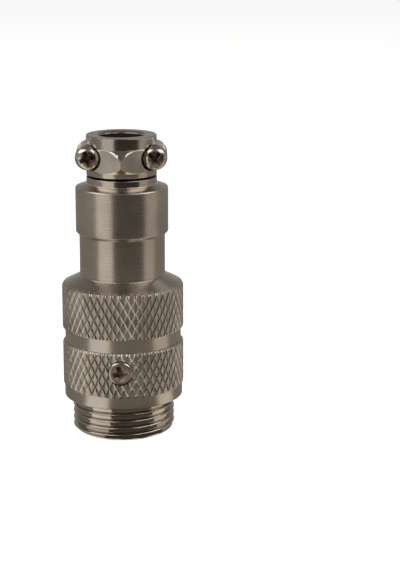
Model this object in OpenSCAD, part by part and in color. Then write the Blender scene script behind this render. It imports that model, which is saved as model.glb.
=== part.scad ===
// In-line aviation connector: cable mount, male coupling thread, male contacts.
// Z is the connector's axis. It is 0 at the mouth, and the cable leaves at the top.
// The locking screw and the heads of the clamp screws face -Y.
// Lengths are in millimetres.

/* [Coupling thread] */
// Major diameter of the coupling thread
thread_d = 16; // [14:0.5:20]
// Length of thread that stands out of the shell
thread_exposed = 5.7; // [4.5:0.1:9]
// Pitch of the thread
thread_pitch = 1.1; // [0.8:0.05:1.5]
// Depth of the thread
thread_depth = 0.5; // [0.3:0.05:0.6]
// Width of a crest
thread_crest = 0.25; // [0.1:0.05:0.4]
// How far a flank reaches along the axis
thread_flank = 0.3; // [0.2:0.05:0.35]
// From the mouth's edge to the middle of the first crest
thread_start = 1.0; // [0.7:0.05:1.5]
// Broken edge at the mouth
thread_lead = 0.2; // [0.1:0.05:0.4]
// How much slimmer the barrel's seat in the shell is than the thread, on the radius
seat_step = 0.3; // [0.2:0.05:0.4]

/* [Mouth and insulator] */
// Wall of the barrel around the mouth
mouth_wall = 1.0; // [0.8:0.05:1.4]
// Depth from the mouth to the insulator's face
mouth_depth = 9.2; // [8.6:0.1:10.5]
// Width of the polarising rib in the mouth
rib_w = 2.0; // [1:0.1:3]
// Height of the rib above the mouth's wall
rib_h = 1.0; // [0.6:0.1:1.3]
// How far the rib starts behind the mouth's edge
rib_inset = 0.8; // [0.3:0.1:2]
// Thickness of the insulator
insulator_t = 4.6; // [3.5:0.1:5]
// Inward step of the ledge that stops the insulator
ledge_step = 0.5; // [0.3:0.05:0.8]
// Thickness of that ledge
ledge_t = 0.8; // [0.5:0.1:1.5]
// Thickness of the snap ring behind the insulator
ring_t = 0.6; // [0.4:0.1:1]
// How far the snap ring reaches in from the barrel's wall
ring_w = 0.7; // [0.4:0.05:0.9]
// Depth of the snap ring's groove in the barrel
ring_groove = 0.35; // [0.2:0.05:0.5]
// Gap between the ends of the snap ring
ring_mouth = 3.0; // [1:0.1:6]
// Length of the barrel behind the snap ring
barrel_lip = 0.57; // [0.4:0.01:2]

/* [Contacts] */
// Contacts on the circle, around the one in the middle
ring_contacts = 7; // [4:1:8]
// Diameter of the circle of contacts
contact_circle_d = 8.6; // [7.6:0.1:9.4]
// Diameter of a contact pin
pin_d = 1.0; // [0.8:0.05:1.2]
// How far the pins stand out of the insulator
pin_reach = 4.8; // [3:0.1:6]
// Outside diameter of a solder cup
cup_d = 1.8; // [1.5:0.05:2]
// Wall of a solder cup
cup_wall = 0.3; // [0.2:0.05:0.45]
// How far a solder cup stands behind the insulator
cup_len = 4.4; // [3:0.1:6]
// Thickness of the floor of a solder cup
cup_floor = 1.0; // [0.5:0.1:1.5]
// Height of the closed part of the cup's wall
cup_lip = 1.2; // [0.5:0.1:1.5]

/* [Knurled shell] */
// Gap around the thread that a mating nut's skirt enters
skirt_gap = 0.75; // [0.4:0.05:1.2]
// Depth of that gap behind the rim
skirt_depth = 2.4; // [1:0.1:3]
// Thickness of the shell's rim
rim_wall = 0.55; // [0.4:0.05:1.2]
// Length of the plain band at the rim
rim_len = 1.8; // [1:0.1:3]
// How far the knurl's ridges stand proud of the rim
knurl_proud = 0.2; // [0.1:0.05:0.4]
// Depth of the knurl's pits
knurl_depth = 0.3; // [0.15:0.05:0.35]
// Diamonds of knurl around the shell
knurl_count = 50; // [36:1:60]
// Height of one diamond
knurl_pitch = 2.2; // [1.4:0.1:3]
// Length of each knurled band
knurl_len = 7.05; // [5:0.05:10]
// Length of the plain groove between the bands
groove_len = 2.05; // [1:0.05:4]
// Depth of that groove below the ridges
groove_depth = 0.4; // [0.4:0.05:0.6]
// Height of the cone behind the knurl
cone_len = 1.45; // [0.8:0.05:3]
// Inward step of the shell that stops the barrel
stop_step = 0.7; // [0.4:0.05:1]

/* [Tail] */
// Diameter of the wiring space inside the tail
wiring_d = 10.6; // [9.6:0.1:11]
// Wall of the tail around the wiring space
tail_wall = 1.35; // [1:0.05:1.8]
// Length of the slim tail below its step
tail_len = 6.4; // [4:0.1:12]
// How far the thicker end of the tail stands out
step_out = 0.53; // [0.3:0.01:1]
// Length of the thicker end
grip_len = 6.94; // [5:0.02:12]
// Height of the shoulder above it
shoulder_len = 0.5; // [0.3:0.05:1]
// Length of the neck under the clamp
neck_len = 1.1; // [0.6:0.05:2]
// Thickness of the wall that closes the wiring space
end_wall = 1.4; // [1:0.1:2]

/* [Swivel] */
// Diameter of the cable hole through the tail
cable_hole_d = 6.4; // [5.6:0.1:6.6]
// Wall between the cable hole and the swivel groove
spigot_wall = 0.8; // [0.7:0.05:1]
// Height of the flange that holds the clamp on
flange_step = 0.6; // [0.4:0.05:0.7]
// Thickness of the flange
flange_t = 0.7; // [0.5:0.05:1]
// Radial clearance of the swivel
swivel_gap = 0.06; // [0.03:0.01:0.1]
// Radial clearance around the flange
flange_gap = 0.1; // [0.06:0.01:0.2]
// Clearance along the axis inside the clamp
swivel_play = 0.08; // [0.05:0.01:0.15]
// Open gap between the neck and the clamp
clamp_gap = 0.36; // [0.2:0.02:0.6]

/* [Cable clamp] */
// Diameter of the cable hole through the clamp
clamp_hole_d = 7.0; // [6.6:0.1:7.2]
// Wall of the clamp around the flange
collar_wall = 0.74; // [0.6:0.02:1]
// How far the flats stand outside the collars
flat_proud = 0.05; // [0.02:0.01:0.3]
// Thickness of the lip that runs in the swivel groove
lip_t = 0.64; // [0.5:0.02:1]
// Height of the lower collar
lower_collar_h = 0.7; // [0.5:0.05:1.2]
// Height of the lower chamfer on the hexagon
lower_chamfer_h = 1.0; // [0.6:0.05:1.4]
// Height of the full corners of the hexagon
corner_h = 1.05; // [0.6:0.05:3]
// Height of the upper chamfer on the hexagon
upper_chamfer_h = 1.45; // [0.8:0.05:2]
// Height of the upper collar
upper_collar_h = 1.9; // [1:0.1:4]
// Chamfer at the mouth of the cable hole
clamp_lead = 0.35; // [0.2:0.05:0.6]
// Gap between the two halves of the clamp
split_gap = 0.1; // [0.05:0.01:0.6]
// How far the clamp is turned on the tail
clamp_turn = 1.7; // [-30:0.1:30]

/* [Screws] */
// Thread diameter of the clamp screws
clamp_screw_d = 2.0; // [1.8:0.1:2.2]
// Wall between a clamp screw's hole and the cable hole
screw_inner_wall = 0.5; // [0.4:0.05:1.2]
// Wall between the flange's space and a clamp screw's hole
screw_floor = 0.25; // [0.2:0.05:0.6]
// Wall around a clamp screw's hole at the side
lug_wall = 0.85; // [0.6:0.05:1.2]
// Length of metal under a clamp screw's head
clamp_screw_grip = 5.4; // [4.6:0.1:6]
// Head diameter of a clamp screw
clamp_head_d = 3.7; // [3.4:0.1:4.4]
// Head height of a clamp screw
clamp_head_h = 1.4; // [1:0.1:2]
// Depth of the recess around a clamp screw's end
tip_recess = 0.6; // [0.2:0.1:1]
// Wall around that recess
tip_wall = 0.3; // [0.2:0.05:0.5]
// Thread diameter of the locking screw
lock_screw_d = 2.0; // [1.6:0.1:2.5]
// Head diameter of the locking screw
lock_head_d = 3.8; // [3:0.1:4.4]
// Head height of the locking screw
lock_head_h = 0.9; // [0.7:0.1:1.6]
// How far the locking screw sits above the middle of its knurled band
lock_offset = 0.5; // [-1:0.1:1]
// Depth of the seat for the locking screw's head
lock_seat = 0.7; // [0.4:0.05:1]
// How deep the locking screw bites into the barrel
lock_bite = 0.5; // [0.2:0.05:0.6]
// Running clearance around a screw in its hole
screw_gap = 0.05; // [0.02:0.01:0.1]
// Clearance of a screw in the front half of the clamp
screw_slack = 0.1; // [0.06:0.01:0.2]

/* [Hidden] */
$fn = 96;
// How far a cut runs past the face that it opens
past = 3;
// Clearance of pieces that stay together
slip = 0.03;
// Clearance around a clamp screw's head and around the locking screw's head
seat_slack = 0.2;
lock_slack = 0.12;
// Broken edge of the clamp's collars
edge = 0.1;
// How far a knurled ring is rooted in the shell under the groove
knurl_root = 0.3;
// Shares of a screw's head that its cross recess spans, is wide and is deep
cross_span = 0.6;
cross_width = 0.19;
cross_depth = 0.6;

// Barrel and mouth
thread_r = thread_d / 2;
root_r = thread_r - thread_depth;
crests = floor((thread_exposed - thread_start) / thread_pitch) + 1;
barrel_seat_r = thread_r - seat_step;
mouth_r = thread_r - mouth_wall;
ledge_r = mouth_r - ledge_step;
insulator_z = mouth_depth;
insulator_top = insulator_z + insulator_t;
ring_top = insulator_top + ring_t + slip;
barrel_top = ring_top + barrel_lip;
contact_circle_r = contact_circle_d / 2;
pin_r = pin_d / 2;
cup_r = cup_d / 2;

// Shell, from the rim upwards
rim_z = thread_exposed;
skirt_r = thread_r + skirt_gap;
rim_r = skirt_r + rim_wall;
knurl_r = rim_r + knurl_proud;
groove_r = knurl_r - groove_depth;
lower_knurl_z = rim_z + rim_len;
groove_z = lower_knurl_z + knurl_len;
upper_knurl_z = groove_z + groove_len;
cone_z = upper_knurl_z + knurl_len;
tail_z = cone_z + cone_len;
step_z = tail_z + tail_len;
shoulder_z = step_z + step_out + grip_len;
neck_z = shoulder_z + shoulder_len;
neck_top = neck_z + neck_len;
barrel_stop_r = barrel_seat_r - stop_step;
skirt_z = rim_z + skirt_depth;

// Tail
wiring_r = wiring_d / 2;
tail_r = wiring_r + tail_wall;
grip_r = tail_r + step_out;
cable_hole_r = cable_hole_d / 2;
spigot_r = cable_hole_r + spigot_wall;
flange_r = spigot_r + flange_step;
lip_r = spigot_r + swivel_gap;
cavity_r = flange_r + flange_gap;
collar_r = cavity_r + collar_wall;
wiring_top = neck_z - end_wall;

// Clamp, from its lower face upwards
clamp_z = neck_top + clamp_gap;
flange_z = clamp_z + lip_t + swivel_play;
flange_top = flange_z + flange_t;
cavity_top = flange_top + swivel_play;
hex_z = clamp_z + lower_collar_h;
corner_z = hex_z + lower_chamfer_h;
chamfer_z = corner_z + corner_h;
upper_collar_z = chamfer_z + upper_chamfer_h;
clamp_top = upper_collar_z + upper_collar_h;
clamp_hole_r = clamp_hole_d / 2;
flat_r = collar_r + flat_proud;
corner_r = flat_r / cos(30);

// Screws
clamp_screw_r = clamp_screw_d / 2;
slack_hole_r = clamp_screw_r + screw_slack;
tapped_hole_r = clamp_screw_r + screw_gap;
lug_r = slack_hole_r + lug_wall;
clamp_screw_x = clamp_hole_r + screw_inner_wall + slack_hole_r;
clamp_screw_z = cavity_top + screw_floor + slack_hole_r;
clamp_head_r = clamp_head_d / 2;
head_plane_y = -clamp_screw_grip / 2;
lug_end_y = clamp_screw_grip / 2 + tip_recess;
tip_r = lug_r - tip_wall;
lock_screw_r = lock_screw_d / 2;
lock_head_r = lock_head_d / 2;
lock_z = lower_knurl_z + knurl_len / 2 + lock_offset;
lock_seat_y = -(knurl_r - lock_seat);
lock_tip_y = -(barrel_seat_r - lock_bite);

CONTACTS = ring_contacts + 1;

// A turned solid whose outline is a list of [radius, height] points.
module turned(outline) {
    rotate_extrude() polygon(outline);
}

// A bar along the Y axis between two planes.
module bar_y(r, y0, y1) {
    translate([0, y1, 0]) rotate([90, 0, 0]) cylinder(r = r, h = y1 - y0);
}

// A ring whose outside is a diamond knurl: ridges cross at knurl_r, with a pit in each diamond.
module knurl_band(z0) {
    cols = 2 * knurl_count;
    rows = max(2, round(2 * knurl_len / knurl_pitch));
    inner_r = groove_r - knurl_root;
    function around(i, r, z) = [r * cos(360 * i / cols), r * sin(360 * i / cols), z];
    function at(i, j) = (i % cols) + cols * j;
    outside = [
        for (j = [0 : rows]) for (i = [0 : cols - 1])
            around(i, (i + j) % 2 == 0 ? knurl_r : knurl_r - knurl_depth, z0 + knurl_len * j / rows)
    ];
    inside = [for (z = [z0, z0 + knurl_len]) for (i = [0 : cols - 1]) around(i, inner_r, z)];
    bottom = rows + 1;
    top = rows + 2;
    skin = [
        for (j = [0 : rows - 1]) for (i = [0 : cols - 1])
            each (i + j) % 2 == 0
                ? [[at(i, j), at(i + 1, j + 1), at(i + 1, j)], [at(i, j), at(i, j + 1), at(i + 1, j + 1)]]
                : [[at(i, j), at(i, j + 1), at(i + 1, j)], [at(i + 1, j), at(i, j + 1), at(i + 1, j + 1)]]
    ];
    ends = [
        for (i = [0 : cols - 1]) each [
            [at(i, 0), at(i + 1, 0), at(i + 1, bottom), at(i, bottom)],
            [at(i, top), at(i + 1, top), at(i + 1, rows), at(i, rows)],
            [at(i, bottom), at(i + 1, bottom), at(i + 1, top), at(i, top)]
        ]
    ];
    polyhedron(points = concat(outside, inside), faces = concat(skin, ends));
}

// The cross in a screw's head, cut downwards from the top of the head at z = 0.
module cross_recess(head_r, depth) {
    span = 2 * head_r * cross_span;
    slot = 2 * head_r * cross_width;
    for (turn = [0, 90])
        rotate([0, 0, turn]) translate([-span / 2, -slot / 2, -depth]) cube([span, slot, depth + past]);
}

// A pan-head screw that points down: its head stands on z = 0 and its thread goes to z = -reach.
module pan_screw(thread_r, reach, head_r, head_h, turn) {
    point = 0.25 * thread_r;
    crown = 0.35 * head_h;
    dome = [for (a = [0 : 15 : 75])
        [head_r - 0.55 * head_h * (1 - cos(a)), head_h - crown + crown * sin(a)]];
    rotate([0, 0, turn]) difference() {
        turned(concat(
            [[0, -reach], [thread_r - point, -reach], [thread_r, -reach + point], [thread_r, 0],
             [head_r, 0]],
            dome, [[0, head_h]]));
        translate([0, 0, head_h]) cross_recess(head_r, cross_depth * head_h);
    }
}

// Turns a part that points down so that its head faces -Y.
module facing_front() {
    rotate([90, 0, 0]) children();
}

// Each turn of the coupling thread is a ring here, so that a crest is a true cylinder for a nut to run on.
function crest(z) = [
    [root_r, z - thread_crest / 2 - thread_flank], [thread_r, z - thread_crest / 2],
    [thread_r, z + thread_crest / 2], [root_r, z + thread_crest / 2 + thread_flank]
];

module threaded_barrel() {
    thread = [for (i = [0 : crests - 1]) each crest(thread_start + i * thread_pitch)];
    color([0.66, 0.63, 0.58]) difference() {
        turned(concat(
            [[mouth_r, 0], [root_r - thread_lead, 0], [root_r, thread_lead]],
            thread,
            [[root_r, skirt_z], [barrel_seat_r, skirt_z], [barrel_seat_r, barrel_top],
             [mouth_r, barrel_top], [mouth_r, ring_top], [mouth_r + ring_groove, ring_top],
             [mouth_r + ring_groove, insulator_top], [mouth_r, insulator_top],
             [mouth_r, insulator_z], [ledge_r, insulator_z], [ledge_r, insulator_z - ledge_t],
             [mouth_r, insulator_z - ledge_t]]
        ));
        translate([0, 0, lock_z]) bar_y(lock_screw_r + screw_gap, -thread_r - past, lock_tip_y + slip);
    }
    color([0.66, 0.63, 0.58]) polarising_rib();
}

// The rib runs along the wall of the mouth, on the locking screw's side.
module polarising_rib() {
    intersection() {
        translate([-rib_w / 2, -thread_r, rib_inset])
            cube([rib_w, thread_r, insulator_z - ledge_t / 2 - rib_inset]);
        turned([
            [mouth_r - rib_h, 0], [mouth_r + mouth_wall / 2, 0],
            [mouth_r + mouth_wall / 2, insulator_z], [mouth_r - rib_h, insulator_z]
        ]);
    }
}

module insulator() {
    color([0.10, 0.09, 0.08]) difference() {
        translate([0, 0, insulator_z]) cylinder(r = mouth_r - slip, h = insulator_t);
        for (i = [1 : CONTACTS])
            translate(contact_place(i)) cylinder(r = pin_r + slip, h = insulator_top + past, $fn = 48);
    }
}

// Contact 1 faces the polarising rib, and the last one stands in the middle.
function contact_place(i) =
    i > ring_contacts ? [0, 0, 0]
    : let (a = -90 + 360 * (i - 0.5) / ring_contacts)
        [contact_circle_r * cos(a), contact_circle_r * sin(a), 0];

// A contact is one turned piece: a round-nosed pin in front and a solder cup behind a collar.
module contact_pin(i) {
    nose_z = insulator_z - pin_reach;
    cup_bore_r = cup_r - cup_wall;
    floor_z = insulator_top + cup_floor;
    cup_top = insulator_top + cup_len;
    color([0.78, 0.74, 0.66]) translate(contact_place(i)) difference() {
        rotate_extrude($fn = 48) polygon(concat(
            [[0, nose_z]],
            [for (a = [30 : 30 : 90]) [pin_r * sin(a), nose_z + pin_r * (1 - cos(a))]],
            [[pin_r, insulator_top], [cup_r, insulator_top], [cup_r, cup_top], [cup_bore_r, cup_top],
             [cup_bore_r, floor_z], [0, floor_z]]));
        rotate([0, 0, i > ring_contacts ? -90 : -90 + 360 * (i - 0.5) / ring_contacts])
            translate([cup_bore_r / 2, -cup_r, floor_z + cup_lip])
                cube([cup_d, cup_d, cup_len]);
    }
}

// A snap ring in the barrel's groove holds the insulator against the ledge.
module retaining_ring() {
    outer_r = mouth_r + ring_groove - slip;
    color([0.55, 0.54, 0.52]) difference() {
        translate([0, 0, insulator_top]) cylinder(r = outer_r, h = ring_t);
        translate([0, 0, insulator_z]) {
            cylinder(r = mouth_r - ring_w, h = insulator_t + ring_t + past);
            translate([-ring_mouth / 2, 0, 0]) cube([ring_mouth, thread_r, insulator_t + ring_t + past]);
        }
    }
}

// One turned shell: rim, two knurled bands, cone, slim tail, thicker end, neck and swivel flange.
module knurled_shell() {
    barrel_bore_r = barrel_seat_r + slip;
    color([0.62, 0.58, 0.53]) difference() {
        union() {
            turned([
                [skirt_r, rim_z], [rim_r, rim_z], [rim_r, lower_knurl_z], [groove_r, lower_knurl_z],
                [groove_r, cone_z], [knurl_r - knurl_depth / 2, cone_z], [tail_r, tail_z],
                [tail_r, step_z], [grip_r, step_z + step_out], [grip_r, shoulder_z],
                [collar_r, neck_z], [collar_r, neck_top], [spigot_r, neck_top], [spigot_r, flange_z],
                [flange_r, flange_z], [flange_r, flange_top], [cable_hole_r, flange_top],
                [cable_hole_r, wiring_top], [wiring_r, wiring_top], [wiring_r, tail_z - cone_len],
                [barrel_stop_r, tail_z - cone_len - (barrel_stop_r - wiring_r)],
                [barrel_stop_r, barrel_top], [barrel_bore_r, barrel_top], [barrel_bore_r, skirt_z],
                [skirt_r, skirt_z]
            ]);
            knurl_band(lower_knurl_z);
            knurl_band(upper_knurl_z);
        }
        translate([0, 0, lock_z]) bar_y(lock_head_r + lock_slack, -knurl_r - past, lock_seat_y);
        translate([0, 0, lock_z]) bar_y(lock_screw_r + screw_gap, -knurl_r, 0);
    }
}

module locking_screw() {
    reach = lock_tip_y - lock_seat_y;
    color([0.62, 0.58, 0.53]) translate([0, lock_seat_y, lock_z]) facing_front()
        pan_screw(lock_screw_r, reach, lock_head_r, lock_head_h, 15);
}

// The whole clamp before it is split, with its screw axes along Y.
module clamp_blank() {
    intersection() {
        translate([0, 0, clamp_z]) rotate([0, 0, 30])
            cylinder(r = corner_r, h = clamp_top - clamp_z, $fn = 6);
        turned([
            [0, clamp_z], [collar_r, clamp_z], [collar_r, hex_z], [corner_r, corner_z],
            [corner_r, chamfer_z], [collar_r + edge, upper_collar_z], [collar_r, upper_collar_z + edge],
            [collar_r, clamp_top - edge], [collar_r - edge, clamp_top], [0, clamp_top]
        ]);
    }
    for (side = [-1, 1])
        translate([side * clamp_screw_x, 0, clamp_screw_z]) bar_y(lug_r, head_plane_y, lug_end_y);
}

module clamp_holes() {
    turned([
        [0, clamp_z - past], [lip_r, clamp_z - past], [lip_r, clamp_z + lip_t],
        [cavity_r, clamp_z + lip_t], [cavity_r, cavity_top], [clamp_hole_r, cavity_top],
        [clamp_hole_r, clamp_top - clamp_lead], [clamp_hole_r + clamp_lead, clamp_top],
        [clamp_hole_r + clamp_lead, clamp_top + past], [0, clamp_top + past]
    ]);
    for (side = [-1, 1]) translate([side * clamp_screw_x, 0, clamp_screw_z]) {
        bar_y(clamp_head_r + seat_slack, head_plane_y - past, head_plane_y);
        bar_y(slack_hole_r, head_plane_y - past, 0);
        bar_y(tapped_hole_r, 0, lug_end_y + past);
        bar_y(tip_r, lug_end_y - tip_recess, lug_end_y + past);
    }
}

// One half of the clamp: side is -1 for the front and 1 for the rear.
module clamp_half(side) {
    size = 4 * corner_r;
    color([0.64, 0.60, 0.55]) rotate([0, 0, clamp_turn]) intersection() {
        difference() {
            clamp_blank();
            clamp_holes();
        }
        translate([-size / 2, side > 0 ? split_gap / 2 : -split_gap / 2 - size, clamp_z - past])
            cube([size, size, clamp_top - clamp_z + 2 * past]);
    }
}

module clamp_rear_half() {
    clamp_half(1);
}

module clamp_front_half() {
    clamp_half(-1);
}

module clamp_screw(side, turn) {
    color([0.60, 0.57, 0.53]) rotate([0, 0, clamp_turn])
        translate([side * clamp_screw_x, head_plane_y, clamp_screw_z]) facing_front()
            pan_screw(clamp_screw_r, clamp_screw_grip, clamp_head_r, clamp_head_h, turn);
}

threaded_barrel();
insulator();
retaining_ring();
knurled_shell();
locking_screw();
clamp_rear_half();
clamp_front_half();
clamp_screw(-1, 20);  // clamp_screw_left
clamp_screw(1, 50);  // clamp_screw_right
for (i = [1 : CONTACTS])
    contact_pin(i);
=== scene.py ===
"""Looks of the in-line aviation connector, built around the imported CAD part; Z is its axis."""
import math

import bmesh
import bpy
from mathutils import Matrix, Vector


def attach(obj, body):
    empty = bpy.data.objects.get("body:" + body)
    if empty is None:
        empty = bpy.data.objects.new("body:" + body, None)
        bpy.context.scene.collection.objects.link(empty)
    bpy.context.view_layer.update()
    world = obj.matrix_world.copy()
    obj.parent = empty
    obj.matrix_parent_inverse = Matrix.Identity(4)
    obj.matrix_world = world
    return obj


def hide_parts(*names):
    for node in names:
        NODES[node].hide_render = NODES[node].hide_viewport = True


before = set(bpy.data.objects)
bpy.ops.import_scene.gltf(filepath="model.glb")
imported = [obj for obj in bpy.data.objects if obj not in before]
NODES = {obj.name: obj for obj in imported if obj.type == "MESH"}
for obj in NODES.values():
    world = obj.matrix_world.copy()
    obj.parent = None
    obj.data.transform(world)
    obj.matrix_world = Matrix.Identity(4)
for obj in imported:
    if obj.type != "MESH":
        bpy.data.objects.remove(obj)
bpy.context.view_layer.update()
MM = 0.001
scene = bpy.context.scene

# ---------------------------------------------------------------- camera, in metres and degrees
CAMERA_TILT = 14.0
CAMERA_LEAN = 0.13
CAMERA_DISTANCE = 0.2432
CAMERA_SIDE = 0.01212
AIM_HEIGHT = 0.0232
FOCAL_LENGTH = 97.9


def make_camera():
    """The photograph's view: a long lens that stands to the right of the object and looks down a little."""
    tilt = math.radians(CAMERA_TILT)
    cam_data = bpy.data.cameras.new("camera")
    cam_data.lens = FOCAL_LENGTH
    cam_data.sensor_width = 36.0
    cam_data.clip_start = 0.01
    cam_data.clip_end = 20.0
    cam = bpy.data.objects.new("camera", cam_data)
    scene.collection.objects.link(cam)
    cam.location = (CAMERA_SIDE, -CAMERA_DISTANCE * math.cos(tilt),
                    AIM_HEIGHT + CAMERA_DISTANCE * math.sin(tilt))
    lean = Matrix.Rotation(math.radians(CAMERA_LEAN), 3, "Z")
    cam.rotation_euler = (Matrix.Rotation(math.pi / 2 - tilt, 3, "X") @ lean).to_euler()
    scene.camera = cam


make_camera()


# ---------------------------------------------------------------- mesh helpers
def mesh_object(name, bm, material, smooth_angle=32.0):
    """Turns a bmesh in millimetres into an object in metres, smooth except at sharp edges."""
    bmesh.ops.recalc_face_normals(bm, faces=bm.faces[:])
    mesh = bpy.data.meshes.new(name)
    bm.to_mesh(mesh)
    bm.free()
    mesh.transform(Matrix.Scale(MM, 4))
    finish_mesh(mesh, smooth_angle)
    obj = bpy.data.objects.new(name, mesh)
    scene.collection.objects.link(obj)
    mesh.materials.append(material)
    return obj


def finish_mesh(mesh, smooth_angle):
    """Smooth shading except at edges sharper than the angle."""
    for poly in mesh.polygons:
        poly.use_smooth = True
    mesh.set_sharp_from_angle(angle=math.radians(smooth_angle))


def bake_modifiers(target):
    """Applies the modifiers of target to its mesh."""
    graph = bpy.context.evaluated_depsgraph_get()
    new = bpy.data.meshes.new_from_object(target.evaluated_get(graph))
    target.modifiers.clear()
    old = target.data
    target.data = new
    new.name = target.name
    bpy.data.meshes.remove(old)


def weigh_normals(obj):
    """Lets the large faces decide the normals, so that a rounded edge doesn't bend the wall's reflections."""
    modifier = obj.modifiers.new("normals", "WEIGHTED_NORMAL")
    modifier.keep_sharp = True
    modifier.weight = 80
    bake_modifiers(obj)
    return obj


def rounded(outline, steps=5):
    """A closed outline of (r, z) or (r, z, fillet) with its corners turned into small arcs."""
    points = []
    count = len(outline)
    for i, corner in enumerate(outline):
        here = Vector(corner[:2])
        fillet = corner[2] if len(corner) > 2 else 0.0
        if fillet <= 0:
            points.append(here)
            continue
        before = Vector(outline[i - 1][:2]) - here
        after = Vector(outline[(i + 1) % count][:2]) - here
        angle = before.angle(after)
        reach = min(fillet / math.tan(angle / 2), before.length * 0.49, after.length * 0.49)
        start = here + before.normalized() * reach
        end = here + after.normalized() * reach
        for k in range(steps + 1):
            t = k / steps
            points.append((1 - t) ** 2 * start + 2 * t * (1 - t) * here + t * t * end)
    return points


def lathe(bm, outline, segments, closed=True):
    """Revolves an outline about Z into bm and returns the rings of vertices."""
    rings = []
    for point in outline:
        r, z = point[0], point[1]
        ring = []
        for k in range(segments):
            a = 2 * math.pi * k / segments
            ring.append(bm.verts.new((r * math.cos(a), r * math.sin(a), z)))
        rings.append(ring)
    pairs = list(zip(rings, rings[1:] + rings[:1])) if closed else list(zip(rings, rings[1:]))
    for low, high in pairs:
        for k in range(segments):
            n = (k + 1) % segments
            bm.faces.new((low[k], low[n], high[n], high[k]))
    return rings


def lathe_solid(bm, outline, segments):
    """A closed solid from an outline that starts and ends on the axis."""
    bottom = bm.verts.new((0, 0, outline[0][1]))
    top = bm.verts.new((0, 0, outline[-1][1]))
    rings = lathe(bm, outline[1:-1], segments, closed=False)
    for k in range(segments):
        n = (k + 1) % segments
        bm.faces.new((bottom, rings[0][n], rings[0][k]))
        bm.faces.new((top, rings[-1][k], rings[-1][n]))


def cut(target, cutter_bm, material):
    """Cuts target with a closed bmesh in millimetres; the new faces get the material."""
    bmesh.ops.recalc_face_normals(cutter_bm, faces=cutter_bm.faces[:])
    mesh = bpy.data.meshes.new("cutter")
    cutter_bm.to_mesh(mesh)
    cutter_bm.free()
    mesh.transform(Matrix.Scale(MM, 4))
    cutter = bpy.data.objects.new("cutter", mesh)
    scene.collection.objects.link(cutter)
    if target.data.materials.find(material.name) < 0:
        target.data.materials.append(material)
    mesh.materials.append(material)
    modifier = target.modifiers.new("cut", "BOOLEAN")
    modifier.material_mode = "TRANSFER"
    modifier.operation = "DIFFERENCE"
    modifier.solver = "EXACT"
    modifier.object = cutter
    bake_modifiers(target)
    bpy.data.objects.remove(cutter)


def join(name, parts, smooth_angle):
    """One object of several, in metres, each with its own material."""
    bm = bmesh.new()
    materials = []
    for part in parts:
        first = len(bm.faces)
        bm.from_mesh(part.data)
        bm.faces.ensure_lookup_table()
        for material in part.data.materials:
            if material not in materials:
                materials.append(material)
        for face in bm.faces[first:]:
            face.material_index = materials.index(part.data.materials[face.material_index])
        bpy.data.objects.remove(part)
    mesh = bpy.data.meshes.new(name)
    bm.to_mesh(mesh)
    bm.free()
    finish_mesh(mesh, smooth_angle)
    obj = bpy.data.objects.new(name, mesh)
    scene.collection.objects.link(obj)
    for material in materials:
        mesh.materials.append(material)
    return obj


# ---------------------------------------------------------------- materials
NICKEL = (0.565, 0.50, 0.43)
EVEN = (1.0, 1.0, 1.0)
AROUND_Z = (1.0, 1.0, 260.0)
LINE_DEPTH = 0.00002
GRAIN_DEPTH = 0.00003


def new_material(name):
    """A principled material, its node tree and its shader."""
    mat = bpy.data.materials.new(name)
    mat.use_nodes = True
    return mat, mat.node_tree, mat.node_tree.nodes["Principled BSDF"]


def add_node(tree, kind, **values):
    """A node with some of its inputs or properties set."""
    node = tree.nodes.new("ShaderNode" + kind)
    for key, value in values.items():
        if hasattr(node, key):
            setattr(node, key, value)
        else:
            node.inputs[key.replace("_", " ")].default_value = value
    return node


def stretched_noise(tree, scale, stretch, detail):
    """Noise in object space, drawn out along some axes: stretch multiplies x, y and z."""
    coords = add_node(tree, "TexCoord")
    mapping = add_node(tree, "Mapping")
    mapping.inputs["Scale"].default_value = stretch
    noise = add_node(tree, "TexNoise", Scale=scale, Detail=detail)
    tree.links.new(coords.outputs["Object"], mapping.inputs["Vector"])
    tree.links.new(mapping.outputs["Vector"], noise.inputs["Vector"])
    return noise.outputs["Fac"]


def spread(tree, value, low, high, start=0.3, end=0.7):
    """A value from start to end spread over the range from low to high."""
    node = add_node(tree, "MapRange")
    node.inputs["From Min"].default_value = start
    node.inputs["From Max"].default_value = end
    node.inputs["To Min"].default_value = low
    node.inputs["To Max"].default_value = high
    tree.links.new(value, node.inputs["Value"])
    return node.outputs["Result"]


def blend(tree, value, first, second):
    """A colour that goes from first to second as the value goes from 0 to 1."""
    mix = add_node(tree, "Mix", data_type="RGBA")
    mix.inputs["A"].default_value = (*first, 1.0)
    mix.inputs["B"].default_value = (*second, 1.0)
    tree.links.new(value, mix.inputs["Factor"])
    return mix.outputs["Result"]


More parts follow.
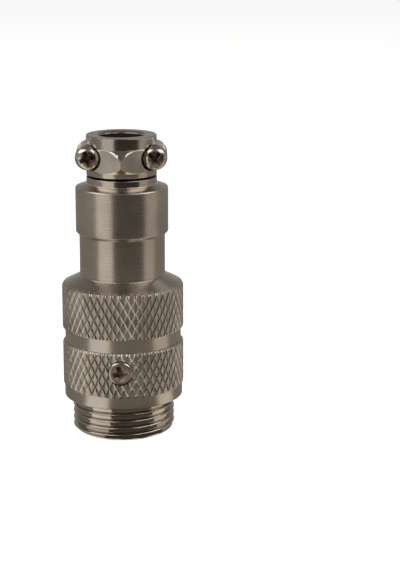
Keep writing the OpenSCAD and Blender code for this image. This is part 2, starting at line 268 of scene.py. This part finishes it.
def nickel(name, colour, rough, turning=0.0, grain=0.0, grain_scale=7000.0, anisotropic=0.0, worn=0.06,
           edge=0.0):
    """Nickel plate: turning lines run round the Z axis, grain is a fine cast or filed texture.

    worn is how far the tone wanders, edge the radius in mm to which sharp edges look broken."""
    mat, tree, bsdf = new_material(name)
    bsdf.inputs["Metallic"].default_value = 1.0
    cloudy = stretched_noise(tree, 260.0, EVEN, 4.0)
    lines = stretched_noise(tree, 90.0, AROUND_Z, 3.0)
    specks = stretched_noise(tree, grain_scale, EVEN, 2.0)
    darker = [c * (1.0 - worn) for c in colour]
    paler = [min(1.0, c * (1.0 + worn)) for c in colour]
    tint = blend(tree, spread(tree, cloudy, 0.0, 1.0), darker, paler)
    tree.links.new(tint, bsdf.inputs["Base Color"])
    tree.links.new(spread(tree, lines if turning else cloudy, rough * 0.85, rough * 1.15),
                   bsdf.inputs["Roughness"])
    normal = None
    if edge:
        normal = add_node(tree, "Bevel", Radius=edge * MM).outputs["Normal"]
    for value, strength, depth in ((lines, turning, LINE_DEPTH), (specks, grain, GRAIN_DEPTH)):
        if strength:
            bump = add_node(tree, "Bump", Strength=strength, Distance=depth)
            tree.links.new(value, bump.inputs["Height"])
            if normal:
                tree.links.new(normal, bump.inputs["Normal"])
            normal = bump.outputs["Normal"]
    if normal:
        tree.links.new(normal, bsdf.inputs["Normal"])
    if anisotropic:
        bsdf.inputs["Anisotropic"].default_value = anisotropic
        bsdf.inputs["Anisotropic Rotation"].default_value = 0.25
        tangent = add_node(tree, "Tangent", direction_type="RADIAL", axis="Z")
        tree.links.new(tangent.outputs["Tangent"], bsdf.inputs["Tangent"])
    return mat


def phenolic():
    """Black moulded insulator with a faint brown mottle."""
    mat, tree, bsdf = new_material("phenolic")
    cloudy = stretched_noise(tree, 700.0, EVEN, 5.0)
    tint = blend(tree, spread(tree, cloudy, 0.0, 1.0), (0.018, 0.015, 0.013), (0.040, 0.031, 0.025))
    tree.links.new(tint, bsdf.inputs["Base Color"])
    tree.links.new(spread(tree, cloudy, 0.38, 0.5), bsdf.inputs["Roughness"])
    return mat


looks = {
    "shell": nickel("shell_nickel", NICKEL, 0.26, turning=0.03, anisotropic=0.2),
    "grip": nickel("shell_nickel_satin", NICKEL, 0.27, turning=0.03, grain=0.16, grain_scale=3600.0,
                   anisotropic=0.2, worn=0.12),
    "cone": nickel("shell_nickel_bright", NICKEL, 0.19, turning=0.06, edge=0.1),
    "knurl": nickel("knurl_nickel", NICKEL, 0.15, grain=0.15, grain_scale=4500.0, worn=0.1),
    "thread": nickel("thread_nickel", NICKEL, 0.1, turning=0.05, worn=0.12),
    "clamp": nickel("clamp_nickel", NICKEL, 0.2, turning=0.12, grain=0.12, grain_scale=3000.0, worn=0.16,
                    edge=0.12),
    "flat": nickel("clamp_nickel_cast", NICKEL, 0.42, grain=0.8, grain_scale=3200.0, worn=0.2, edge=0.12),
    "pit": nickel("knurl_nickel_pit", NICKEL, 0.5, grain=0.9, grain_scale=4500.0, worn=0.22),
    "chamfer": nickel("clamp_nickel_bright", NICKEL, 0.1, grain=0.05, worn=0.16, edge=0.1),
    "screw": nickel("screw_nickel", NICKEL, 0.16, grain=0.06, worn=0.12, edge=0.08),
    # darker, browner nickel for the screws' cross recesses and the lock seat's walls: painted shade
    "recess": nickel("screw_recess_painted_shade", (0.20, 0.15, 0.105), 0.28, grain=0.4, worn=0.2),
    # near-black nickel: painted shade for the faces inside the clamp
    "dark": nickel("nickel_painted_shade", (0.05, 0.042, 0.035), 0.5),
    "spring": nickel("spring_steel", (0.42, 0.41, 0.40), 0.3, grain=0.1),
    "silver": nickel("contact_silver", (0.80, 0.75, 0.66), 0.22, turning=0.1),
    "phenolic": phenolic(),
}


def look_of(node_name):
    """The key in looks for a CAD node."""
    special = {"insulator": "phenolic", "retaining_ring": "spring", "knurled_shell": "shell",
               "threaded_barrel": "thread"}
    if node_name in special:
        return special[node_name]
    if node_name.startswith("contact"):
        return "silver"
    return "screw" if "screw" in node_name else "clamp"


for name, node in NODES.items():
    node.data.materials.clear()
    node.data.materials.append(looks[look_of(name)])

# ---------------------------------------------------------------- sizes in mm
# They follow the part's source. What is drawn a little differently, as the photograph shows it, is the
# coupling thread's root and flanks, the rows of the knurl and the locking screw's seat.
THREAD_R = 8.0
THREAD_PITCH = 1.1
ROOT_R = 7.55
THREAD_START = 1.0
THREAD_LEAD = 0.2
CREST_SHARE = 0.1
ROOT_SHARE = 0.4
SEAT_R = 7.7
MOUTH_R = 7.0
LEDGE_R = 6.5
LEDGE_Z = 8.4
INSULATOR_Z = 9.2
INSULATOR_TOP = 13.8
RING_DEPTH = 0.35
RING_TOP = 14.43
BARREL_TOP = 15.0
RIB_WIDTH = 2.0
RIB_DEPTH = 1.3
RIB_HEIGHT = 7.98
RIB_Y = -6.66
RIB_Z = 4.8
RIM_Z = 5.7
SKIRT_Z = 8.1
SKIRT_R = 8.75
RIM_R = 9.3
KNURL_R = 9.5
GROOVE_R = 9.1
LOWER_KNURL_Z = 7.5
LOWER_CROSSING_Z = 12.45
GROOVE_Z = 14.55
UPPER_KNURL_Z = 16.6
UPPER_CROSSING_Z = 23.09
CONE_Z = 23.65
TAIL_Z = 25.1
TAIL_R = 6.65
STEP_Z = 31.5
GRIP_R = 7.18
SHOULDER_Z = 38.97
NECK_Z = 39.47
NECK_TOP = 40.57
COLLAR_R = 5.45
SPIGOT_R = 4.0
FLANGE_Z = 41.65
FLANGE_TOP = 42.35
FLANGE_R = 4.6
CABLE_HOLE_R = 3.2
WIRING_TOP = 38.07
WIRING_R = 5.3
STOP_R = 7.0
KNURL_CELLS = 50
KNURL_ROW = 1.127
LOCK_Z = 11.525
LOCK_SEAT_R = 1.95
LOCK_SEAT_Y = 8.8
CLAMP_TURN = 1.7
CLAMP_SCREW_X = 5.1
CLAMP_SCREW_Z = 43.78
CLAMP_SEAT_Y = 2.7
SCREW_R = 1.0
SCREW_ROOT_R = 0.8
SCREW_PITCH = 0.4
TURNED_SEGMENTS = 192
SMALL_SEGMENTS = 64

# ---------------------------------------------------------------- coupling thread and barrel
THREAD_PHASE = 0.75
ROWS_PER_PITCH = 20
FLANK_POWER = 1.4


def thread_radius(z, turn):
    """Radius of the coupling thread at height z and angle turn (a share of a full turn)."""
    phase = ((z - THREAD_START) / THREAD_PITCH - turn + THREAD_PHASE) % 1.0
    offset = min(phase, 1.0 - phase) * 2.0
    share = min(1.0, max(0.0, (offset - CREST_SHARE) / (1.0 - CREST_SHARE - ROOT_SHARE)))
    thread = THREAD_R - (THREAD_R - ROOT_R) * share ** FLANK_POWER
    lead_in = min(ROOT_R - THREAD_LEAD + z, ROOT_R + 0.05 + max(0.0, z - THREAD_LEAD))
    lead_out = ROOT_R + max(0.0, RIM_Z + 0.1 - z)
    return min(thread, max(lead_in, ROOT_R - THREAD_LEAD), lead_out)


def add_thread(bm):
    """The barrel's threaded wall: rows of the grid follow the helix, cut off at both ends."""
    row = THREAD_PITCH / ROWS_PER_PITCH
    count = int(RIM_Z / row) + ROWS_PER_PITCH + 2
    grid = []
    for i in range(TURNED_SEGMENTS):
        turn = i / TURNED_SEGMENTS
        column = []
        for k in range(count):
            z = min(max((k - ROWS_PER_PITCH) * row + turn * THREAD_PITCH, 0.0), RIM_Z)
            r = thread_radius(z, turn)
            a = 2 * math.pi * turn
            column.append(bm.verts.new((r * math.cos(a), r * math.sin(a), z)))
        grid.append(column)
    for i in range(TURNED_SEGMENTS):
        shift = ROWS_PER_PITCH if i == TURNED_SEGMENTS - 1 else 0
        right = grid[(i + 1) % TURNED_SEGMENTS]
        for k in range(count - 1):
            low = min(k + shift, count - 1)
            high = min(k + 1 + shift, count - 1)
            corners = [grid[i][k], right[low]]
            if high != low:
                corners.append(right[high])
            corners.append(grid[i][k + 1])
            bm.faces.new(corners)


def add_rib(bm):
    """The polarising rib, a bar in the mouth with its inner edges rounded."""
    rib = bmesh.ops.create_cube(bm, size=1.0)["verts"]
    for v in rib:
        v.co = Vector((v.co.x * RIB_WIDTH, RIB_Y + v.co.y * RIB_DEPTH, RIB_Z + v.co.z * RIB_HEIGHT))
    inner = RIB_Y + RIB_DEPTH / 2
    edges = [e for e in {e for v in rib for e in v.link_edges}
             if all(abs(v.co.y - inner) < 1e-6 for v in e.verts)]
    bmesh.ops.bevel(bm, geom=edges, offset=0.18, segments=3, affect="EDGES", profile=0.5)


def make_barrel(material):
    """The barrel with its coupling thread, mouth, ledge, snap-ring groove and polarising rib."""
    bm = bmesh.new()
    add_thread(bm)
    foot = ROOT_R - THREAD_LEAD
    lathe(bm, [
        (foot, 0.0), (MOUTH_R + 0.12, 0.0), (MOUTH_R, 0.12), (MOUTH_R, LEDGE_Z), (LEDGE_R, LEDGE_Z),
        (LEDGE_R, INSULATOR_Z), (MOUTH_R, INSULATOR_Z), (MOUTH_R, INSULATOR_TOP),
        (MOUTH_R + RING_DEPTH, INSULATOR_TOP), (MOUTH_R + RING_DEPTH, RING_TOP), (MOUTH_R, RING_TOP),
        (MOUTH_R, BARREL_TOP), (SEAT_R, BARREL_TOP), (SEAT_R, SKIRT_Z), (ROOT_R, SKIRT_Z),
        (ROOT_R, RIM_Z)], TURNED_SEGMENTS, closed=False)
    bmesh.ops.remove_doubles(bm, verts=bm.verts[:], dist=1e-4)
    bmesh.ops.dissolve_degenerate(bm, edges=bm.edges[:], dist=1e-5)
    add_rib(bm)
    return weigh_normals(mesh_object("barrel_thread", bm, material, 40.0))


# ---------------------------------------------------------------- knurled shell
# Each diamond steps inwards in rings of (share of its size, depth in mm) down to a flat pit.
CELL_RINGS = ((0.92, 0.03), (0.74, 0.10), (0.45, 0.14))
CELL_PIT = 0.15
PIT_FROM = 0.12
CELL_SIDES = 3
KNURL_END = 0.25
KNURL_FLOOR_R = KNURL_R - 0.19
INSIDE_R = GROOVE_R - 0.2
CONE_SLOPE = (TAIL_Z - CONE_Z) / (KNURL_R - TAIL_R)
BODY_CONE_Z = TAIL_Z - (GROOVE_R - TAIL_R) * (TAIL_Z - CONE_Z) / (KNURL_R - TAIL_R)


def add_diamonds(bm, low, high, crossing_z):
    """Rows of sunk diamonds from low to high and a little beyond, so that ridges cross at crossing_z."""
    step = math.pi / KNURL_CELLS
    front = -math.pi / 2
    beyond = 0.4
    first = math.floor((low - crossing_z) / KNURL_ROW) - 1
    last = math.ceil((high + beyond - crossing_z) / KNURL_ROW) + 1
    points = {}

    def vert(a, b, depth):
        """a in half cells around from the front, b in rows above the crossing height."""
        key = (round((a % (2 * KNURL_CELLS)) * 1000), round(b * 1000))
        if key not in points:
            angle = front + a * step
            r = KNURL_R - depth
            points[key] = bm.verts.new((r * math.cos(angle), r * math.sin(angle),
                                        crossing_z + b * KNURL_ROW))
        return points[key]

    for j in range(first, last + 1):
        for i in range(2 * KNURL_CELLS):
            if (i + j) % 2 == 0:
                continue
            corners = [(i - 1, j), (i, j - 1), (i + 1, j), (i, j + 1)]
            outer = []
            for n, (a, b) in enumerate(corners):
                c, d = corners[(n + 1) % 4]
                for k in range(CELL_SIDES):
                    t = k / CELL_SIDES
                    outer.append((a + (c - a) * t, b + (d - b) * t))
            ring = [vert(a, b, 0.0) for a, b in outer]
            for share, depth in CELL_RINGS:
                inner = [vert(i + (a - i) * share, j + (b - j) * share, depth) for a, b in outer]
                for n in range(len(ring)):
                    m = (n + 1) % len(ring)
                    face = bm.faces.new((ring[n], ring[m], inner[m], inner[n]))
                    face.material_index = int(depth > PIT_FROM)
                ring = inner
            centre = vert(i, j, CELL_PIT)
            for n in range(len(ring)):
                face = bm.faces.new((ring[n], ring[(n + 1) % len(ring)], centre))
                face.material_index = 1


def shear(bm, slope):
    """Moves every vertex up by slope times its distance outside the knurl's radius."""
    for v in bm.verts:
        v.co.z += (v.co.xy.length - KNURL_R) * slope


def close_band(bm, low, high):
    """Clips the wall short of low and high, tapers its ends inwards and closes it behind."""
    ends = ((low + KNURL_END, -1), (high - KNURL_END, 1))
    for z, outwards in ends:
        bmesh.ops.bisect_plane(bm, geom=bm.verts[:] + bm.edges[:] + bm.faces[:], dist=1e-5,
                               plane_co=(0, 0, z), plane_no=(0, 0, outwards), clear_outer=True)
    inner_loops = []
    for z, outwards in ends:
        edges = [e for e in bm.edges if e.is_boundary and abs(e.verts[0].co.z - z) < 1e-4
                 and abs(e.verts[1].co.z - z) < 1e-4]
        for widest in (KNURL_FLOOR_R, INSIDE_R):
            made = bmesh.ops.extrude_edge_only(bm, edges=edges)["geom"]
            for v in made:
                if isinstance(v, bmesh.types.BMVert):
                    r = v.co.xy.length
                    wanted = min(r, widest)
                    v.co.x *= wanted / r
                    v.co.y *= wanted / r
                    v.co.z = z + outwards * KNURL_END
            edges = [e for e in made if isinstance(e, bmesh.types.BMEdge)]
        inner_loops += edges
    bmesh.ops.bridge_loops(bm, edges=inner_loops)


def make_knurl(low, high, crossing_z, slope):
    """A closed ring with raised crossing ridges; slope is that of the cone above it, or 0."""
    bm = bmesh.new()
    add_diamonds(bm, low, high, crossing_z)
    if slope:
        shear(bm, slope)
    close_band(bm, low, high)
    if slope:
        shear(bm, -slope)
    ring = mesh_object("knurl_ring", bm, looks["knurl"], 50.0)
    ring.data.materials.append(looks["pit"])
    return ring


def shell_outline():
    """The turned body without its knurl, up the outside and down the inside."""
    return rounded([
        (SKIRT_R, RIM_Z, 0.08), (RIM_R, RIM_Z, 0.12), (RIM_R, LOWER_KNURL_Z),
        (GROOVE_R, LOWER_KNURL_Z), (GROOVE_R, BODY_CONE_Z),
        (TAIL_R + 0.1, TAIL_Z - 0.05, 0.05), (TAIL_R - 0.03, TAIL_Z, 0.0),
        (TAIL_R - 0.03, TAIL_Z + 0.12), (TAIL_R, TAIL_Z + 0.2, 0.05),
        (TAIL_R, STEP_Z, 0.1), (GRIP_R, STEP_Z + GRIP_R - TAIL_R, 0.25),
        (GRIP_R, SHOULDER_Z - 0.11, 0.03), (GRIP_R - 0.11, SHOULDER_Z + 0.03, 0.03),
        (COLLAR_R, NECK_Z, 0.25), (COLLAR_R, NECK_TOP, 0.12),
        (SPIGOT_R, NECK_TOP, 0.0), (SPIGOT_R, FLANGE_Z), (FLANGE_R, FLANGE_Z), (FLANGE_R, FLANGE_TOP),
        (CABLE_HOLE_R, FLANGE_TOP), (CABLE_HOLE_R, WIRING_TOP), (WIRING_R, WIRING_TOP),
        (WIRING_R, CONE_Z), (STOP_R, CONE_Z - (STOP_R - WIRING_R)), (STOP_R, BARREL_TOP),
        (SEAT_R + 0.03, BARREL_TOP), (SEAT_R + 0.03, SKIRT_Z), (SKIRT_R, SKIRT_Z)])


def make_body():
    """The turned body: satin on the thick end of the tail, bright on cone and shoulder, and inside the clamp
    a near-black nickel that paints shade.
    """
    bm = bmesh.new()
    lathe(bm, shell_outline(), TURNED_SEGMENTS)
    body = mesh_object("shell_body", bm, looks["shell"], 28.0)
    for look in ("grip", "cone", "dark"):
        body.data.materials.append(looks[look])
    for face in body.data.polygons:
        z = face.center.z / MM
        if STEP_Z + 0.6 < z < SHOULDER_Z:
            face.material_index = 1
        # faces inside the clamp take the near-black nickel of painted shade
        elif z > NECK_TOP - 0.01:
            face.material_index = 3
        elif BODY_CONE_Z < z < TAIL_Z + 0.1 or z > SHOULDER_Z:
            face.material_index = 2
    return body


def cut_lock_seat(target):
    """Cuts the locking screw's round seat into the front; its walls take the darker nickel that paints shade.
    """
    outside = 11.0
    cutter = bmesh.new()
    lathe_solid(cutter, [(0.0, LOCK_SEAT_Y), (LOCK_SEAT_R, LOCK_SEAT_Y), (LOCK_SEAT_R, outside),
                         (0.0, outside)], SMALL_SEGMENTS)
    bmesh.ops.rotate(cutter, verts=cutter.verts[:], cent=(0, 0, 0),
                     matrix=Matrix.Rotation(math.pi / 2, 3, "X"))
    bmesh.ops.translate(cutter, verts=cutter.verts[:], vec=(0, 0, LOCK_Z))
    cut(target, cutter, looks["recess"])


def make_shell():
    """The turned shell and its two knurled bands, with the locking screw's seat cut in."""
    lower = make_knurl(LOWER_KNURL_Z, GROOVE_Z, LOWER_CROSSING_Z, 0.0)
    upper = make_knurl(UPPER_KNURL_Z, CONE_Z, UPPER_CROSSING_Z, CONE_SLOPE)
    body = make_body()
    for target in (body, lower):
        cut_lock_seat(target)
    return weigh_normals(join("shell_knurled", [body, lower, upper], 35.0))


# ---------------------------------------------------------------- screws
def screw_outline(reach, head_r, head_h, flat):
    """The screw from its tip up: turns of thread drawn as rings, then a domed head."""
    outline = [(0.0, -reach), (SCREW_ROOT_R * 0.85, -reach)]
    z = -reach + 0.15
    while z < -0.4:
        outline += [(SCREW_ROOT_R, z), (SCREW_R, z + SCREW_PITCH / 2)]
        z += SCREW_PITCH
    outline += [(SCREW_ROOT_R, -0.2), (SCREW_ROOT_R, 0.0), (head_r - 0.05, 0.0), (head_r, 0.05)]
    skirt = 0.4 * head_h
    for k in range(9):
        a = math.pi / 2 * k / 8
        r = head_r * (flat + (1.0 - flat) * math.cos(a))
        outline.append((r, skirt + (head_h * 0.96 - skirt) * math.sin(a)))
    outline.append((0.0, head_h))
    return outline


def recess_slot(head_r, head_h, cross, quarter):
    """One of the two tapered slots of a cross recess, as a closed bmesh."""
    slot = bmesh.new()
    floor = head_h * 0.35
    top = head_h + 0.3
    rise = (top - floor) / (head_h - floor)
    wide = 0.2 * head_r
    narrow = 0.13 * head_r
    far = cross * head_r
    near = 0.35 * cross * head_r
    rings = []
    for z, length, width in ((floor, near, narrow),
                             (top, near + (far - near) * rise, narrow + (wide - narrow) * rise)):
        rings.append([slot.verts.new((x * length, y * width, z))
                      for x, y in ((-1, -1), (1, -1), (1, 1), (-1, 1))])
    slot.faces.new(rings[0][::-1])
    slot.faces.new(rings[1])
    for n in range(4):
        m = (n + 1) % 4
        slot.faces.new((rings[0][n], rings[0][m], rings[1][m], rings[1][n]))
    bmesh.ops.rotate(slot, verts=slot.verts[:], cent=(0, 0, 0),
                     matrix=Matrix.Rotation(math.pi / 2 * quarter, 3, "Z"))
    return slot


def pan_screw(name, reach, head_r, head_h, flat, cross, turn):
    """A pan-head screw that points along +Y: its head stands on y = 0, its thread ends at y = reach.

    flat is the share of the head that is level, cross the reach of the recess, both of head_r."""
    bm = bmesh.new()
    lathe_solid(bm, screw_outline(reach, head_r, head_h, flat), SMALL_SEGMENTS)
    obj = mesh_object(name, bm, looks["screw"], 35.0)
    for quarter in (0, 1):
        # the slots' walls take the darker nickel that paints shade in the recess
        cut(obj, recess_slot(head_r, head_h, cross, quarter), looks["recess"])
    finish_mesh(obj.data, 35.0)
    weigh_normals(obj)
    obj.data.transform(Matrix.Rotation(math.pi / 2, 4, "X") @ Matrix.Rotation(math.radians(turn), 4, "Z"))
    return obj


def make_screws():
    """The locking screw and the two clamp screws, by the names of their nodes."""
    lock = pan_screw("locking_screw_head", reach=1.4, head_r=1.9, head_h=0.85, flat=0.8, cross=0.66, turn=15)
    lock.data.transform(Matrix.Translation((0, -LOCK_SEAT_Y * MM, LOCK_Z * MM)))
    screws = {"locking_screw": lock}
    for side, label, turn in ((-1, "left", 20), (1, "right", 50)):
        screw = pan_screw("clamp_screw_" + label + "_dressed", reach=5.4, head_r=1.85, head_h=1.4,
                          flat=0.35, cross=0.74, turn=turn)
        screw.data.transform(Matrix.Translation((side * CLAMP_SCREW_X * MM, -CLAMP_SEAT_Y * MM,
                                                 CLAMP_SCREW_Z * MM)))
        screw.data.transform(Matrix.Rotation(math.radians(CLAMP_TURN), 4, "Z"))
        screws["clamp_screw_" + label] = screw
    return screws


# ---------------------------------------------------------------- clamp halves
EDGE_WIDTH = 0.09
SMALLEST_FLAT = 0.5


def copy_half(node):
    """A copy of the CAD half with its triangles merged into flat faces."""
    bm = bmesh.new()
    bm.from_mesh(NODES[node].data)
    bmesh.ops.remove_doubles(bm, verts=bm.verts[:], dist=1e-7)
    bmesh.ops.dissolve_limit(bm, angle_limit=math.radians(0.6), verts=bm.verts[:], edges=bm.edges[:])
    mesh = bpy.data.meshes.new(node + "_dressed")
    bm.to_mesh(mesh)
    bm.free()
    obj = bpy.data.objects.new(node + "_dressed", mesh)
    scene.collection.objects.link(obj)
    return obj


def make_clamp_half(node):
    """The CAD half with its edges broken: cast flats, bright chamfers, the rest turned."""
    obj = copy_half(node)
    bevel = obj.modifiers.new("edges", "BEVEL")
    bevel.width = EDGE_WIDTH * MM
    bevel.segments = 2
    bevel.limit_method = "ANGLE"
    bevel.angle_limit = math.radians(24)
    bake_modifiers(obj)
    finish_mesh(obj.data, 28.0)
    obj.data.materials.clear()
    for look in ("clamp", "flat", "chamfer"):
        obj.data.materials.append(looks[look])
    turn = Matrix.Rotation(math.radians(-CLAMP_TURN), 3, "Z")
    for face in obj.data.polygons:
        normal = turn @ face.normal
        angle = math.degrees(math.atan2(normal.y, normal.x)) % 60.0
        upright = abs(normal.z) < 0.02 and min(angle, 60.0 - angle) < 1.0
        if upright and face.area > SMALLEST_FLAT * MM * MM:
            face.material_index = 1
        elif 0.1 < abs(normal.z) < 0.95:
            face.material_index = 2
    return weigh_normals(obj)


# ---------------------------------------------------------------- pieces on their bodies
def dress(piece, body, node):
    """piece stands for the CAD node and moves with its body."""
    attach(piece, body)
    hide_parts(node)


BODY_OF = {"locking_screw": "shell", "clamp_screw_left": "screw_left", "clamp_screw_right": "screw_right",
           "clamp_front_half": "clamp_front", "clamp_rear_half": "clamp_rear"}
dress(make_barrel(looks["thread"]), "shell", "threaded_barrel")
dress(make_shell(), "shell", "knurled_shell")
for node, screw in make_screws().items():
    dress(screw, BODY_OF[node], node)
for node in ("clamp_front_half", "clamp_rear_half"):
    dress(make_clamp_half(node), BODY_OF[node], node)

# ---------------------------------------------------------------- stage in mm, lamps in metres and degrees
PAPER = 0.82
PAPER_LIFT = 0.75
FLOOR_R = 4000.0
FLAG_SPAN = 240.0
FLAG_TOP = 1.5
FLAG_LOW = 0.3
FLAG_FAR = 900.0
FLAG_STEP = 4
MIDDLE_HEIGHT = 0.024


def from_camera(azimuth, distance, height):
    """A place around the object: azimuth in degrees from the camera's side, positive to the right."""
    a = math.radians(azimuth)
    return Vector((distance * math.sin(a), -distance * math.cos(a), height))


def bare_material(name):
    """A material with nothing in it but its output node."""
    mat = bpy.data.materials.new(name)
    mat.use_nodes = True
    mat.node_tree.nodes.clear()
    return mat, mat.node_tree, add_node(mat.node_tree, "OutputMaterial")


def floor_material():
    """Pale paper that holds the shadow and reaches white for what looks at it."""
    mat, tree, out = bare_material("paper")
    diffuse = add_node(tree, "BsdfDiffuse")
    diffuse.inputs["Color"].default_value = (PAPER, PAPER, PAPER, 1.0)
    emission = add_node(tree, "Emission")
    both = add_node(tree, "AddShader")
    path = add_node(tree, "LightPath")
    seen = path.outputs["Is Camera Ray"]
    for ray in ("Is Glossy Ray", "Is Transmission Ray"):
        plus = add_node(tree, "Math", operation="ADD")
        tree.links.new(seen, plus.inputs[0])
        tree.links.new(path.outputs[ray], plus.inputs[1])
        seen = plus.outputs["Value"]
    lift = add_node(tree, "Math", operation="MULTIPLY")
    lift.inputs[1].default_value = PAPER_LIFT
    tree.links.new(seen, lift.inputs[0])
    tree.links.new(lift.outputs["Value"], emission.inputs["Strength"])
    tree.links.new(diffuse.outputs["BSDF"], both.inputs[0])
    tree.links.new(emission.outputs["Emission"], both.inputs[1])
    tree.links.new(both.outputs["Shader"], out.inputs["Surface"])
    return mat


def make_floor():
    """A wide round of paper under the object."""
    bm = bmesh.new()
    bmesh.ops.create_circle(bm, cap_ends=True, segments=96, radius=FLOOR_R)
    floor = mesh_object("floor", bm, floor_material())


def painted_reflection_material(name, tones, tint):
    """Glow whose brightness follows the distance from the axis: a painted reflection, dimmer near the axis as
    a painted shadow of the object on the paper.
    """
    mat, tree, out = bare_material(name)
    emission = add_node(tree, "Emission")
    coords = add_node(tree, "TexCoord")
    length = add_node(tree, "VectorMath", operation="LENGTH")
    tree.links.new(coords.outputs["Object"], length.inputs[0])
    ramp = add_node(tree, "ValToRGB")
    stops = ramp.color_ramp.elements
    while len(stops) < len(tones):
        stops.new(1.0)
    for stop, (reach, tone) in zip(stops, tones):
        stop.position = reach / FLAG_SPAN
        stop.color = (*[tone * t / FLAG_TOP for t in tint], 1.0)
    share = spread(tree, length.outputs["Value"], 0.0, 1.0, 0.0, FLAG_SPAN * MM)
    tree.links.new(share, ramp.inputs["Fac"])
    tree.links.new(ramp.outputs["Color"], emission.inputs["Color"])
    emission.inputs["Strength"].default_value = FLAG_TOP
    tree.links.new(emission.outputs["Emission"], out.inputs["Surface"])
    return mat


def make_painted_reflection(name, start, end, tones, tint=(1.0, 0.93, 0.84), height=FLAG_LOW):
    """A glowing flag on the floor between two azimuths, seen in reflections only: a painted reflection.

    tones are (distance from the axis in mm, brightness), the low tones near the axis a painted shadow of the
    object; a flag with a height also stands at its far end."""
    corners = [(tones[0][0], FLAG_LOW), (FLAG_FAR, FLAG_LOW)]
    if height > FLAG_LOW:
        corners.append((FLAG_FAR, height))
    bm = bmesh.new()
    rows = []
    steps = max(2, round((end - start) / FLAG_STEP))
    for k in range(steps + 1):
        azimuth = start + (end - start) * k / steps
        rows.append([bm.verts.new(from_camera(azimuth, reach, z)) for reach, z in corners])
    for left, right in zip(rows, rows[1:]):
        for n in range(len(left) - 1):
            bm.faces.new((left[n], left[n + 1], right[n + 1], right[n]))
    flag = mesh_object(name, bm, painted_reflection_material(name, tones, tint))
    for kind in ("camera", "diffuse", "transmission", "volume_scatter", "shadow"):
        setattr(flag, "visible_" + kind, False)


def make_lamp(name, azimuth, elevation, distance, size, radiance):
    """A soft box that faces the object; its power follows from its size and how bright it looks."""
    data = bpy.data.lights.new(name, "AREA")
    data.shape = "RECTANGLE"
    data.size, data.size_y = size
    data.energy = radiance * math.pi * size[0] * size[1]
    lamp = bpy.data.objects.new(name, data)
    scene.collection.objects.link(lamp)
    e = math.radians(elevation)
    lamp.location = from_camera(azimuth, distance * math.cos(e), distance * math.sin(e) + MIDDLE_HEIGHT)
    lamp.rotation_euler = (Vector((0, 0, MIDDLE_HEIGHT)) - lamp.location).to_track_quat("-Z", "Y").to_euler()


def make_fill(name, azimuth, elevation, distance, level):
    """A lamp that lights plain surfaces and shows in no reflection."""
    make_lamp(name, azimuth, elevation, distance, (1.0, 1.0), level * distance ** 2)
    bpy.data.objects[name].visible_glossy = False


def make_world():
    """Soft light from all round, brighter towards the horizon than overhead."""
    world = bpy.data.worlds.new("world")
    scene.world = world
    world.use_nodes = True
    tree = world.node_tree
    coords = add_node(tree, "TexCoord")
    parts = add_node(tree, "SeparateXYZ")
    tree.links.new(coords.outputs["Generated"], parts.inputs["Vector"])
    tint = blend(tree, spread(tree, parts.outputs["Z"], 0.0, 1.0, 0.0, 0.7),
                 (0.36, 0.355, 0.345), (0.15, 0.145, 0.14))
    tree.links.new(tint, tree.nodes["Background"].inputs["Color"])


make_floor()
# Glowing flags that only reflections see paint what the metal reflects, with painted shadow of the object
# near the axis.
make_painted_reflection("flag_front", -22, 61,
          ((7.0, 0.05), (20.0, 0.10), (35.0, 0.26), (71.0, 0.21), (120.0, 0.11), (150.0, 0.02),
           (180.0, 0.13), (210.0, 0.13), (230.0, 0.03)),
          tint=(1.0, 0.89, 0.77), height=450.0)
make_painted_reflection("flag_window", -63, -22,
          ((7.0, 0.3), (15.0, 0.9), (71.0, 0.85), (120.0, 0.8), (150.0, 0.55), (190.0, 0.8)),
          tint=(1.0, 0.97, 0.92))
make_painted_reflection("flag_right", 61, 96,
          ((7.0, 0.2), (15.0, 0.8), (71.0, 0.6), (120.0, 0.5), (150.0, 0.35), (180.0, 0.4)))
make_painted_reflection("flag_sides", 96, 297,
          ((7.0, 0.1), (20.0, 0.22), (35.0, 0.25), (190.0, 0.24)),
          tint=(1.0, 0.94, 0.87))
make_lamp("left", azimuth=-57, elevation=42, distance=0.6, size=(0.72, 0.32), radiance=1.8)
make_lamp("right", azimuth=66, elevation=42, distance=0.6, size=(0.72, 0.32), radiance=1.6)
make_lamp("back", azimuth=180, elevation=45, distance=0.8, size=(0.6, 0.2), radiance=0.3)
make_fill("fill", azimuth=-30, elevation=60, distance=0.9, level=0.3)
make_world()
scene.view_settings.view_transform = "Standard"
